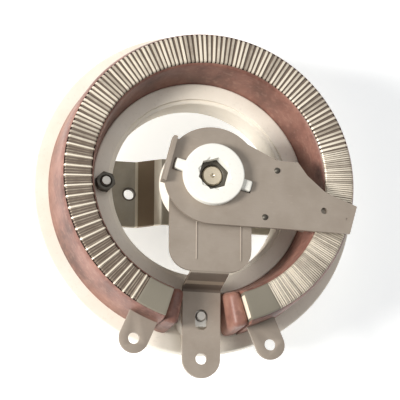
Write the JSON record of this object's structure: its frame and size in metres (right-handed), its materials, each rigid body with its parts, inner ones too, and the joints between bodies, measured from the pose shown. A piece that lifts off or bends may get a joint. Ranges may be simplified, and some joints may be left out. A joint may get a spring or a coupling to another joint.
{
  "type": "wirewound rheostat",
  "caption": "Panel-mount disc rheostat: a wound C-shaped ceramic core bonded to a ring base, wiped by an arm on a bushed shaft in a bent bracket.",
  "frame": {"origin": "on the shaft axis, in the plane of the bracket's mounting face", "axes": "+Z along the shaft towards the rear, where the winding and the wiper are; -Y towards the centre terminal; +X along the bracket"},
  "size_m": [0.13, 0.1421, 0.0642],
  "materials": {
    "steatite": "matt unglazed steatite, cream",
    "core_ceramic": "matt unglazed ceramic, cream",
    "enamel": "red-brown vitreous enamel, slightly glossy",
    "resistance_wire": "bright worn resistance ribbon",
    "plated_steel": "warm grey plated sheet",
    "zinc_steel": "zinc plated strip",
    "screw_steel": "bright zinc plated fasteners",
    "copper_alloy": "coppery turned bushing",
    "shaft_metal": "turned and polished, warm",
    "spring_steel": "dark spring steel",
    "hub_steatite": "white steatite",
    "dark_steel": "dark plated nut and clip",
    "carbon": "copper-graphite brush, dark"
  },
  "bodies": {
    "base": {"ceramic_base": "steatite", "core_former": "core_ceramic", "winding_coarse": "resistance_wire", "winding_medium": "resistance_wire", "winding_fine": "resistance_wire", "enamel_coat": "enamel", "end_terminal_left": "plated_steel", "end_terminal_right": "plated_steel", "centre_terminal": "plated_steel", "weld_nut": "screw_steel", "centre_screw": "screw_steel", "bracket": "zinc_steel", "bracket_screws": "screw_steel", "bracket_nuts": "dark_steel", "lock_washers": "dark_steel", "bushing": "copper_alloy", "coil_spring": "spring_steel", "insulating_cup": "steatite"},
    "wiper": {"shaft": "shaft_metal", "retaining_clip": "dark_steel", "thrust_washer": "copper_alloy", "hub": "hub_steatite", "hub_nut": "dark_steel", "wiper_arm": "plated_steel", "slip_washer": "copper_alloy", "leaf_spring": "spring_steel", "leaf_rivets": "plated_steel", "brush": "carbon"}
  },
  "joints": [
    {"name": "shaft_turn", "type": "hinge", "parent": "base", "child": "wiper", "pos_m": [0, 0, 0.02], "axis": [0, 0, 1], "range_deg": [-51.5, 260.5]}
  ]
}
